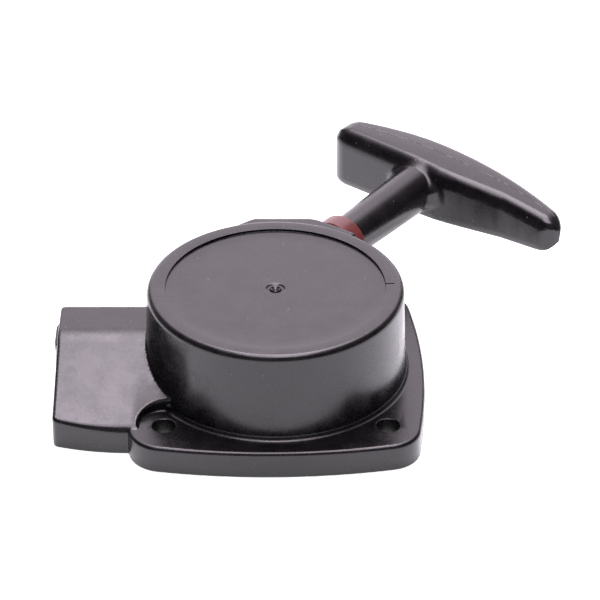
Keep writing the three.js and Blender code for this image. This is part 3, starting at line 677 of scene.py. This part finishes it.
def case_rooms(x, y, z, wall):
    drum = round_max(wall + DRUM_WALL, z - CEILING, 1.2)
    flange = round_max(flange_outline(x, y) + WALL, z - FLANGE_TOP + WALL, 0.8)
    clearance = np.hypot(x - BOLTS[0][0], y - BOLTS[0][1]) - BOLT_CLEARANCE - DUCT_WALL
    above = FLANGE_TOP - WALL - z
    channel = duct(x, y, z) + DUCT_WALL
    channel = round_max(channel, -np.maximum(wall, above), 0.5)
    channel = round_max(channel, -np.maximum(clearance, above), 0.5)
    return np.minimum(np.minimum(drum, flange), channel)


def centre_post(x, y, z):
    post = disc(x, y, z, POST, POST_BOTTOM, CEILING + 1, 0.5)
    arbor = disc(x, y, z, ARBOR, ARBOR_BOTTOM, CEILING + 1, 0.4)
    body = np.minimum(post, arbor)
    slot = np.maximum(np.maximum(np.abs(y) - 0.8, -x), slab(z, ARBOR_BOTTOM + 0.5, CEILING - 1))
    bore = disc(x, y, z, INSERT + CLEARANCE, POST_BOTTOM - 3, ARBOR_BOTTOM, 0.1)
    deep = disc(x, y, z, SCREW + CLEARANCE, POST_BOTTOM, ARBOR_BOTTOM + 5, 0.1)
    return round_max(body, -np.minimum(np.minimum(slot, bore), deep), 0.3)


def case_field(x, y, z):
    wall = drum_wall(x, y, z)
    flange = round_max(flange_outline(x, y), z - FLANGE_TOP, FLANGE_EDGE)
    clearance = np.hypot(x - BOLTS[0][0], y - BOLTS[0][1]) - BOLT_CLEARANCE
    channel = round_max(duct(x, y, z), -clearance, 1.0)
    channel = round_min(channel, duct_rib(x, y, z), 0.8)
    drum = round_max(wall, z - DRUM_TOP, RIM)
    block = outlet_block(x, y, z)
    body = round_min(flange, channel, 0.8)
    body = round_min(body, block, 1.5)
    above_foot = ramp(z, FLANGE_TOP + 1.5, FLANGE_TOP + 3.5)
    body = round_min(body, drum, FOOT_FILLET + (DUCT_FILLET - FOOT_FILLET) * above_foot)
    body = round_max(body, -z, 0.4)
    body = round_max(body, -case_rooms(x, y, z, wall), 0.5)
    for bolt in BOLTS:
        boss = disc(x, y, z, BOLT_BOSS, 0, FLANGE_TOP - 1, 0.4, bolt)
        body = round_min(body, boss, 0.6)
    for bolt in BOLTS:
        body = round_max(body, BOLT_HOLE - np.hypot(x - bolt[0], y - bolt[1]), 0.25)
    body = round_min(body, centre_post(x, y, z), 1.0)
    top = np.maximum(np.hypot(x, y) - RECESS - 3, DRUM_TOP - 1.8 - z)
    body = np.maximum(body, -top)
    along, aside, up = pull_frame(x, y, z)
    shank = np.maximum(np.hypot(aside, up) - GUIDE_BORE, 30 - along)
    return round_max(body, -shank, 0.4)


def make_case():
    shell = surface_of("case_shell", case_field, *limits("starter_case"), 0.62, keep=0.3)
    finish(shell, CASE, "case", "case_plastic", "starter_case")


def make_drum_top():
    """The drum's rim and recessed top, just proud of the shell under it, with the moulding gate."""
    proud = 0.02
    floor = DRUM_TOP - RECESS_DEPTH
    bottom = DRUM_TOP - 1.45
    rim_x, rim_z = DRUM_RADIUS - RIM + proud, DRUM_TOP - RIM + proud
    gate = [(3.9, 0), (3.6, -0.08), (3.2, -0.38), (2.8, -0.62), (2.4, -0.5), (2.1, -0.12), (1.8, 0.1)]
    gate += [(1.5, 0), (1.2, -0.3), (0.9, -0.42), (0.6, -0.2), (0.3, 0), (0, 0.04)]
    profile = [(0, bottom), (RECESS + 2, bottom), (rim_x + 0.4, bottom - 0.5)]
    profile += arc(rim_x, rim_z, RIM, 4, 90, 12)
    profile += arc(RECESS + 0.12, DRUM_TOP + proud - 0.12, 0.12, 90, 180, 4)
    profile += arc(RECESS - 0.15, floor + 0.15, 0.15, 0, -90, 4)
    profile += [(r, floor) for r in (34, 26, 18, 12, 8, 5, 4.2)]
    profile += [(r, floor + z) for r, z in gate]
    notch_low, notch_high = RECESS - 0.1, RECESS + 3.4
    notch_half = 0.28 / RECESS
    notch_angle = math.radians(2.5)

    def notched(radius, height, angle):
        in_notch = abs(math.remainder(angle - notch_angle, 2 * math.pi)) < notch_half
        return min(height, DRUM_TOP - 0.55) if in_notch and notch_low < radius < notch_high else height

    radial = [(r, DRUM_TOP + proud) for r in (notch_high + 0.01, notch_high - 0.01)]
    at = next(i for i, (r, z) in enumerate(profile) if z > DRUM_TOP and r < RECESS + 1)
    profile[at:at] = radial
    edges = [notch_angle + s * notch_half * k for s in (-1, 1) for k in (0.97, 1.03)]
    angles = sorted(even(240) + edges)
    cap = turned("drum_top", profile, angles, notched)
    finish(cap, CASE, "case", "case_plastic", "starter_case")


PULL_MATRIX = TO_ROW @ Matrix(
    (
        (0, -ASIDE[0], ALONG[0], beside(0)[0]),
        (0, -ASIDE[1], ALONG[1], beside(0)[1]),
        (-1, 0, 0, ROPE_LEVEL),
        (0, 0, 0, 1),
    )
)  # from a frame whose Z is the pull axis


def make_guide():
    shank, collar, bore = 6.7, 10.5, 2.6
    seat = OUTLET_FACE + CLEARANCE
    profile = arc(bore + 2, 44 + 2, 2, 180, 270, 6)
    profile += arc(shank - 0.6, 44 + 0.6, 0.6, -90, 0, 3)
    profile += [(shank, seat), (collar - 0.4, seat), (collar, seat + 0.4)]
    profile += arc(collar - 0.9, GUIDE_END - 0.9, 0.9, 0, 90, 5)
    profile += arc(bore + 1.6, GUIDE_END - 1.6, 1.6, 90, 180, 6)
    profile.append(profile[0])
    guide = turned("rope_guide_bush", profile, even(96), matrix=PULL_MATRIX)
    finish(guide, GUIDE, "case", "guide_plastic", "rope_guide")


# ---- Handle ----


def grip_inner(aside):
    start = GRIP_INNER - 0.07 * STEM_END_RADIUS
    left = GRIP_INNER - 0.07 * aside
    to_crease = np.minimum(aside, GRIP_CREASE) - STEM_END_RADIUS
    past = aside - GRIP_CREASE
    right = start + 0.05 * to_crease - 0.045 * (past + np.sqrt(past * past + 4)) + 0.05
    return np.where(aside < STEM_END_RADIUS, left, right)


def grip_outer(aside):
    bow = np.where(aside < -5, 0.0047, 0.0029)
    return GRIP_OUTER - bow * (aside + 5) ** 2


def grip_field(x, y, z):
    along, aside, up = pull_frame(x, y, z)
    inner = grip_inner(aside)
    outer = grip_outer(aside)
    taper = np.maximum(0, aside + 8) / 66
    half_height = GRIP_HALF_HEIGHT - GRIP_TAPER * taper**1.5
    half_depth = (outer - inner) / 2
    across = along - (inner + outer) / 2
    crown = 0.9 * (across / 11) ** 2
    level = np.abs(up + GRIP_DROP) - half_height + crown
    section = round_max(level, np.abs(across) - half_depth, np.where(across < 0, 1.6, 4.6))
    depth = (2.6 - 0.8 * ramp(aside, 0, 20)) * (0.45 + 0.55 * ramp(up, -4, 4))
    bevel = 0.74 * (-across - half_depth) + 0.67 * level + depth
    section = round_max(section, bevel, 1.7)
    end = np.where(aside < 0, GRIP_LEFT - aside, aside - GRIP_RIGHT - 0.12 * up)
    grip = round_max(section, end, np.where(aside < 0, 8.6, 8.8))
    radius = STEM_START_RADIUS + (STEM_END_RADIUS - STEM_START_RADIUS) * (along - STEM_START) / 47
    distance = np.hypot(aside, up)
    chamfer = (distance - radius + STEM_START - along + 1.1) * 0.7071
    stem = np.maximum(round_max(distance - radius, slab(along, STEM_START, 116), 0.5), chamfer)
    body = round_min(grip, stem, 2.0 + 3.8 * (1 - ramp(np.abs(up), 2, 8)))
    mouth = 2.2 * ramp(-along, -STEM_START - 3.5, -STEM_START)
    hole = np.maximum(distance - ROPE - 0.6 - mouth, along - POCKET_FLOOR - 1)
    pocket = np.maximum(distance - POCKET, POCKET_FLOOR - along)
    return round_max(body, -np.minimum(hole, pocket), 0.6)


def make_grip():
    grip = surface_of("grip_shell", grip_field, *limits("handle_grip", 3.5), 0.62, keep=0.35)
    finish(grip, GRIP, "grip", "grip_plastic", "handle_grip")


def make_parting_lines():
    """The thin flash line that the grip's mould leaves along the middle of its top and bottom."""
    for name, side in (("parting_line_top", 1), ("parting_line_bottom", -1)):
        aside = np.linspace(GRIP_LEFT + 5, GRIP_RIGHT - 5, 90)
        outer = grip_outer(aside)
        along = outer - 0.42 * (outer - grip_inner(aside))
        plan = ALONG[None, :] * along[:, None] + ASIDE[None, :] * (aside - PULL_OFFSET)[:, None]
        points = np.column_stack([plan, np.full(len(aside), ROPE_LEVEL + 14.0 * side)])
        for _ in range(12):
            points[:, 2] -= side * grip_field(*points.T)
        line = tube(name, points - (0, 0, 0.05 * side), 0.13, sides=8)
        finish(line, FLASH, "grip", "grip_plastic")


def make_handle_end():
    washer_end = POCKET_FLOOR + 1.5
    plate = [(ROPE + 0.5, POCKET_FLOOR + 0.3), (POCKET - 0.5, POCKET_FLOOR + 0.3)]
    plate.append((POCKET - 0.4, POCKET_FLOOR + 0.45))
    plate += [(POCKET - 0.4, washer_end - 0.15), (POCKET - 0.5, washer_end), (ROPE + 0.5, washer_end)]
    plate.append(plate[0])
    disc_piece = turned("knot_washer_plate", plate, even(64), matrix=PULL_MATRIX)
    finish(disc_piece, ZINC, "rope_end", "zinc_steel", "knot_washer")
    finish(
        stopper_knot("handle_stopper_knot", 1.5, 1.15, washer_end + 3.4, PULL_MATRIX),
        CORD, "rope_end", "rope_cord", "handle_knot",
    )


def stopper_knot(name, cord, scale, height, matrix):
    """A tight overhand knot: the centre line is a trefoil."""
    points = []
    for t in even(120):
        x = math.sin(t) + 2 * math.sin(2 * t)
        y = math.cos(t) - 2 * math.cos(2 * t)
        points.append((scale * x * 0.92, scale * y * 0.92, height - 1.35 * math.sin(3 * t)))
    return tube(name, points, cord, sides=20, closed=True, matrix=matrix)


# ---- Rope ----


def make_rope():
    start = Vector((-3.5, 37.2)).normalized() * (WINDING_OUTER + CLEARANCE + ROPE)
    bend = [start, *(Vector(beside(*place)) for place in ((39.6, -3.2), (41.8, 0), (46.5, 0)))]
    points = [start.lerp(bend[1], i / 10) for i in range(10)]
    for i in range(13):
        t = i / 12
        points.append(bend[1] * (1 - t) ** 2 + bend[2] * 2 * t * (1 - t) + bend[3] * t * t)
    last = Vector(beside(POCKET_FLOOR + 1))
    steps = 60
    points += [bend[3].lerp(last, i / steps) for i in range(1, steps + 1)]
    rope = tube("rope_line", [(p.x, p.y, ROPE_LEVEL) for p in points], ROPE - 0.02, sides=20)
    rope.data.materials.append(CORD)
    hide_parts("rope_lead")
    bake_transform(rope)


def make_winding():
    """Four turns of rope, one over the other, in the reel's groove."""
    inner, outer, turns = WINDING_INNER + WOUND_ROPE, WINDING_OUTER - WOUND_ROPE, 4
    points = []
    for i in range(turns * 72 + 1):
        angle = math.pi / 2 + 2 * math.pi * i / 72
        radius = inner + (outer - inner) * i / (turns * 72)
        points.append((radius * math.cos(angle), radius * math.sin(angle), ROPE_LEVEL))
    winding = tube("rope_turns", points, WOUND_ROPE, sides=12)
    finish(winding, CORD, "reel", "rope_cord", "rope_winding")


# ---- Reel and works, seen from below ----


def reel_field(x, y, z):
    rho = np.hypot(x, y)
    hub = np.maximum(rho - HUB, slab(z, HUB_BOTTOM, WEB_TOP))
    web = np.maximum(rho - GROOVE_FLOOR, slab(z, WEB_BOTTOM, WEB_TOP))
    wall = np.maximum(np.maximum(rho - GROOVE_FLOOR, SPRING_ROOM - rho), slab(z, WEB_BOTTOM, REEL_TOP))
    cheeks = np.minimum(
        round_max(rho - REEL, slab(z, GROOVE_BOTTOM - CHEEK, GROOVE_BOTTOM), 0.5),
        round_max(rho - REEL, slab(z, GROOVE_TOP, GROOVE_TOP + CHEEK), 0.5),
    )
    cheeks = np.maximum(cheeks, SPRING_ROOM + 0.4 - rho)
    body = round_min(round_min(hub, web, 0.6), wall, 0.5)
    body = round_min(body, cheeks, 0.4)
    bore = rho - REEL_BORE
    pins = np.minimum(np.hypot(x - PAWL_PIVOT, y), np.hypot(x + PAWL_PIVOT, y)) - PIN - CLEARANCE
    pins = np.maximum(pins, slab(z, WEB_BOTTOM - 1, WEB_TOP - 0.6))
    knot = np.hypot(x - KNOT_HOLE[0], y - KNOT_HOLE[1]) - KNOT_HOLE[2]
    knot = np.maximum(knot, slab(z, 25, GROOVE_BOTTOM + 0.5))
    return round_max(body, -np.minimum(np.minimum(bore, pins), knot), 0.3)


def make_reel():
    reel = surface_of("reel_body", reel_field, *limits("rope_reel"), 0.55, keep=0.35)
    finish(reel, NYLON, "reel", "reel_plastic", "rope_reel")
    place = TO_ROW @ Matrix.Translation((*KNOT_HOLE[:2], 25.7))
    knot = stopper_knot("reel_stopper_knot", 1.2, 0.85, 0, place)
    finish(knot, CORD, "reel", "rope_cord", "reel_knot")


def peg_on_cam(part):
    angle = PAWL_REST + PAWL_SWING * part
    peg = complex(PAWL_PIVOT + PEG_REACH * math.cos(angle), PEG_REACH * math.sin(angle))
    return peg * complex(math.cos(-CAM_SWING * part), math.sin(-CAM_SWING * part))


def cam_field(x, y, z):
    plate = washer(x, y, z, POST + 0.4, CAM, CAM_BOTTOM, CAM_TOP, 0.3)
    start, end = peg_on_cam(0), peg_on_cam(1)
    middle = peg_on_cam(0.5)
    for sign in (1, -1):
        for a, b in ((start, middle), (middle, end)):
            dx, dy = (b - a).real, (b - a).imag
            px, py = sign * x - a.real, sign * y - a.imag
            share = np.clip((px * dx + py * dy) / (dx * dx + dy * dy), 0, 1)
            slot = np.hypot(px - share * dx, py - share * dy) - PEG - 0.4
            plate = round_max(plate, -slot, 0.25)
    return plate


def pawl_field(x, y, z):
    foot, tip = 3.6, 1.9
    cos, sin = math.cos(-PAWL_REST), math.sin(-PAWL_REST)
    px, py = x - PAWL_PIVOT, y
    u, v = px * cos - py * sin, px * sin + py * cos
    share = np.clip(u / (PAWL_LENGTH - 2), 0, 1)
    arm = np.hypot(u - share * (PAWL_LENGTH - 2), v) - foot + (foot - tip) * share
    corners = [(PAWL_LENGTH - 6, -tip), (PAWL_LENGTH - 1.6, -tip), (PAWL_LENGTH, tip + 0.8)]
    tooth = polygon(u, v, [*corners, (PAWL_LENGTH - 4, tip)], 0.2)
    plan = np.minimum(np.maximum(arm, u - PAWL_LENGTH + 1.7), tooth)
    body = round_max(plan, slab(z, PAWL_BOTTOM, PAWL_TOP), 0.3)
    peg = round_max(np.hypot(u - PEG_REACH, v) - PEG, slab(z, CAM_BOTTOM - 0.4, PAWL_BOTTOM + 1), 0.25)
    body = round_min(body, peg, 0.2)
    return round_max(body, PIN + 0.15 - np.hypot(u, v), 0.25)


def make_pawls():
    low, high = limits("pawl_a")
    for letter, turn in (("a", 0), ("b", math.pi)):
        matrix = TO_ROW @ Matrix.Rotation(turn, 4, "Z")
        arm = surface_of(f"pawl_{letter}_arm", pawl_field, low, high, 0.28, keep=0.5, matrix=matrix)
        finish(arm, SINTERED, f"pawl_{letter}_arm", "pawl_steel", f"pawl_{letter}")
        end, top = PAWL_BOTTOM, WEB_TOP - 0.9
        profile = [(0, end), *arc(PIN - 0.3, end + 0.3, 0.3, -90, 0, 3)]
        profile += [*arc(PIN - 0.3, top - 0.3, 0.3, 0, 90, 3), (0, top)]
        pivot = matrix @ Matrix.Translation((PAWL_PIVOT, 0, 0))
        pin = turned(f"pawl_pin_{letter}_steel", profile, even(48), matrix=pivot)
        finish(pin, ZINC, "reel", "zinc_steel", f"pawl_pin_{letter}")


def make_cam():
    cam = surface_of("cam_disc", cam_field, *limits("cam_plate"), 0.3, keep=0.4)
    finish(cam, ZINC, "cam", "zinc_steel", "cam_plate")


def turned_washer(name, inner, outer, low, high, edge, *, material, body, slot, node):
    profile = arc(inner + edge, low + edge, edge, 180, 270, 3)
    profile += arc(outer - edge, low + edge, edge, 270, 360, 3)
    profile += arc(outer - edge, high - edge, edge, 0, 90, 3)
    profile += arc(inner + edge, high - edge, edge, 90, 180, 3)
    profile.append(profile[0])
    finish(turned(name, profile, even(96)), material, body, slot, node)


def screw_field(x, y, z):
    rho = np.hypot(x, y)
    hexagon = polygon(x, y, [(HEAD_CORNER * math.cos(a), HEAD_CORNER * math.sin(a)) for a in even(6)], 0.15)
    chamfer = 0.58 * (rho - 5.45 - 1.4 * (z - HEAD_BOTTOM))
    head = np.maximum(np.maximum(hexagon, slab(z, HEAD_BOTTOM, HEAD_TOP)), chamfer)
    upright = np.maximum(np.abs(x) - CROSS_WIDTH, np.abs(y) - CROSS_REACH)
    level = np.maximum(np.abs(y) - CROSS_WIDTH, np.abs(x) - CROSS_REACH)
    recess = round_max(np.minimum(upright, level), z - HEAD_BOTTOM - CROSS_DEPTH, 0.1)
    shank = round_max(rho - SCREW, slab(z, HEAD_TOP - 1, ARBOR_BOTTOM + 3), 0.4)
    return np.minimum(round_max(head, -recess, 0.15), shank)


def lock_washer_field(x, y, z):
    middle = (LOCK_BOTTOM + LOCK_TOP) / 2
    body = washer(x, y, z, SCREW + CLEARANCE, 5.1, LOCK_BOTTOM, LOCK_TOP, 0.2)
    gap = np.maximum(np.abs(y + (z - middle) * 0.47) - 0.6, -x)
    return round_max(body, -gap, 0.15)


def make_works():
    screw = surface_of("screw_body", screw_field, *limits("centre_screw"), 0.25, keep=0.5)
    finish(screw, ZINC, "case", "zinc_steel", "centre_screw")
    ring = surface_of("lock_washer_ring", lock_washer_field, *limits("lock_washer"), 0.2)
    finish(ring, SPRING, "case", "spring_steel", "lock_washer")
    zinc = {"material": ZINC, "slot": "zinc_steel"}
    turned_washer("retaining_disc", SCREW + CLEARANCE, 11.5, RETAINER_BOTTOM, POST_BOTTOM - CLEARANCE, 0.25,
                  body="case", node="retaining_washer", **zinc)
    turned_washer("thrust_disc", POST + CLEARANCE, HUB - 0.5,
                  CAM_TOP + CLEARANCE, HUB_BOTTOM - CLEARANCE, 0.2,
                  body="case", node="thrust_washer", **zinc)
    turned_washer("spring_cover_disc", ARBOR + 0.6, SPRING_ROOM - CLEARANCE, REEL_TOP - 0.8, REEL_TOP, 0.15,
                  body="reel", node="spring_cover", **zinc)
    turned_washer("insert_sleeve", SCREW + CLEARANCE, INSERT,
                  POST_BOTTOM + 0.2, ARBOR_BOTTOM - CLEARANCE, 0.2,
                  material=BRASS, body="case", slot="insert_brass", node="post_insert")
    wire, radius = 0.5, POST + 2
    low, high = POST_BOTTOM + CLEARANCE + wire, CAM_BOTTOM - CLEARANCE - wire
    coil, steps = [], 136
    for i in range(steps + 1):
        angle = 2 * math.pi * BRAKE_TURNS * i / steps
        height = low + (high - low) * i / steps
        coil.append((radius * math.cos(angle), radius * math.sin(angle), height))
    finish(tube("brake_coil", coil, wire, sides=14), SPRING, "case", "spring_steel", "brake_spring")


def make_mainspring():
    """A flat spiral strip with chamfered edges and a hook for the arbor's slot.

    All of it rides on the reel, so the hook is in its slot only when the reel has made whole turns.
    """
    turns, thick, low, high = 6, 0.6, 30, 39.4
    outer, inner = SPRING_ROOM - CLEARANCE - thick / 2, ARBOR + CLEARANCE + thick / 2
    line = []
    for i in range(turns * 60 + 1):
        angle = 2 * math.pi * i / 60
        radius = outer + (inner - outer) * i / (turns * 60)
        line.append(Vector((radius * math.cos(angle), radius * math.sin(angle), 0)))
    line += [Vector((inner - k, -0.1, 0)) for k in (0.6, 1.4, 2.4)]
    mesh = bmesh.new()
    section = [(-thick / 2, low + 0.2), (-0.15, low), (0.15, low), (thick / 2, low + 0.2)]
    section += [(thick / 2, high - 0.2), (0.15, high), (-0.15, high), (-thick / 2, high - 0.2)]
    rings = []
    for i, point in enumerate(line):
        ahead = (line[min(i + 1, len(line) - 1)] - line[max(i - 1, 0)]).normalized()
        side = Vector((-ahead.y, ahead.x, 0))
        rings.append([mesh.verts.new(point + side * u + Vector((0, 0, z))) for u, z in section])
    for here, there in zip(rings, rings[1:]):
        for k in range(8):
            mesh.faces.new((here[k], here[(k + 1) % 8], there[(k + 1) % 8], there[k]))
    mesh.faces.new(rings[0])
    mesh.faces.new(rings[-1][::-1])
    bmesh.ops.recalc_face_normals(mesh, faces=mesh.faces)
    data = bpy.data.meshes.new("mainspring_strip")
    mesh.to_mesh(data)
    mesh.free()
    data.transform(TO_ROW)
    data.polygons.foreach_set("use_smooth", [True] * len(data.polygons))
    data.set_sharp_from_angle(angle=math.radians(40))
    strip = bpy.data.objects.new("mainspring_strip", data)
    bpy.context.scene.collection.objects.link(strip)
    finish(strip, SPRING, "reel", "spring_steel", "mainspring")


# ---- Studio ----

ELEVATION = math.radians(32.61)
CAMERA_TARGET = Vector((8.95, 17.92, 27.89))
CAMERA_DISTANCE = 1100
LENS = 176.85


def make_camera():
    data = bpy.data.cameras.new("camera")
    data.lens = LENS
    data.clip_end = 20
    camera = bpy.data.objects.new("camera", data)
    back = Vector((0, -math.cos(ELEVATION), math.sin(ELEVATION)))
    camera.location = TO_ROW @ (CAMERA_TARGET + back * CAMERA_DISTANCE)
    camera.rotation_euler = (math.pi / 2 - ELEVATION, 0, 0)
    bpy.context.scene.collection.objects.link(camera)
    bpy.context.scene.camera = camera


def area_light(name, place, target, size, power, colour=(1, 1, 1)):
    data = bpy.data.lights.new(name, "AREA")
    data.shape = "RECTANGLE"
    data.size, data.size_y = size
    data.energy = power
    data.color = colour
    light = bpy.data.objects.new(name, data)
    light.location = place
    light.rotation_euler = (Vector(target) - Vector(place)).to_track_quat("-Z", "Y").to_euler()
    bpy.context.scene.collection.objects.link(light)


def make_world():
    """A bright backdrop behind the starter, which fades out to the sides and the front."""
    world = bpy.data.worlds.new("tent")
    bpy.context.scene.world = world
    world.use_nodes = True
    nodes, links = world.node_tree.nodes, world.node_tree.links
    background = nodes["Background"]
    place = nodes.new("ShaderNodeTexCoord")
    parts = nodes.new("ShaderNodeSeparateXYZ")
    links.new(place.outputs["Generated"], parts.inputs[0])
    aside = nodes.new("ShaderNodeMath")
    aside.operation = "ABSOLUTE"
    links.new(parts.outputs["X"], aside.inputs[0])

    def fade(value, start, end, first, last):
        step = nodes.new("ShaderNodeMapRange")
        step.interpolation_type = "SMOOTHSTEP"
        for key, amount in (("From Min", start), ("From Max", end), ("To Min", first), ("To Max", last)):
            step.inputs[key].default_value = amount
        links.new(value, step.inputs["Value"])
        return step.outputs["Result"]

    shade = nodes.new("ShaderNodeMath")
    shade.operation = "MULTIPLY"
    links.new(fade(aside.outputs[0], 0.3, 0.6, 1, 0.1), shade.inputs[0])
    links.new(fade(parts.outputs["Y"], 0.1, 0.45, 0.2, 2.35), shade.inputs[1])
    ray = nodes.new("ShaderNodeLightPath")
    seen = nodes.new("ShaderNodeMix")
    links.new(ray.outputs["Is Camera Ray"], seen.inputs[0])
    links.new(shade.outputs[0], seen.inputs[2])
    seen.inputs[3].default_value = 1.5
    links.new(seen.outputs[0], background.inputs["Strength"])
    background.inputs["Color"].default_value = (1, 0.9, 1, 1)


def make_floor():
    data = bpy.data.meshes.new("floor")
    half = 4.0
    corners = [(-half, -half, 0), (half, -half, 0), (half, half, 0), (-half, half, 0)]
    data.from_pydata(corners, [], [(0, 1, 2, 3)])
    floor = bpy.data.objects.new("floor", data)
    floor.location.z = -0.0002
    bpy.context.scene.collection.objects.link(floor)
    graph = Graph("floor_white", (0.9, 0.93, 0.95), 0.7, specular=0.2)
    graph.shader.inputs["Emission Color"].default_value = (1, 1, 1, 1)
    graph.shader.inputs["Emission Strength"].default_value = 0.85
    data.materials.append(graph.material)


make_camera()
make_world()
make_floor()
area_light("softbox", (0, 0.12, 0.9), (0, 0.12, 0), (0.52, 1.08), 14, (1, 0.89, 1))
bpy.context.scene.view_settings.view_transform = "Standard"

make_case()
make_drum_top()
make_guide()
make_grip()
make_parting_lines()
make_handle_end()
make_rope()
make_winding()
make_reel()
make_pawls()
make_cam()
make_works()
make_mainspring()
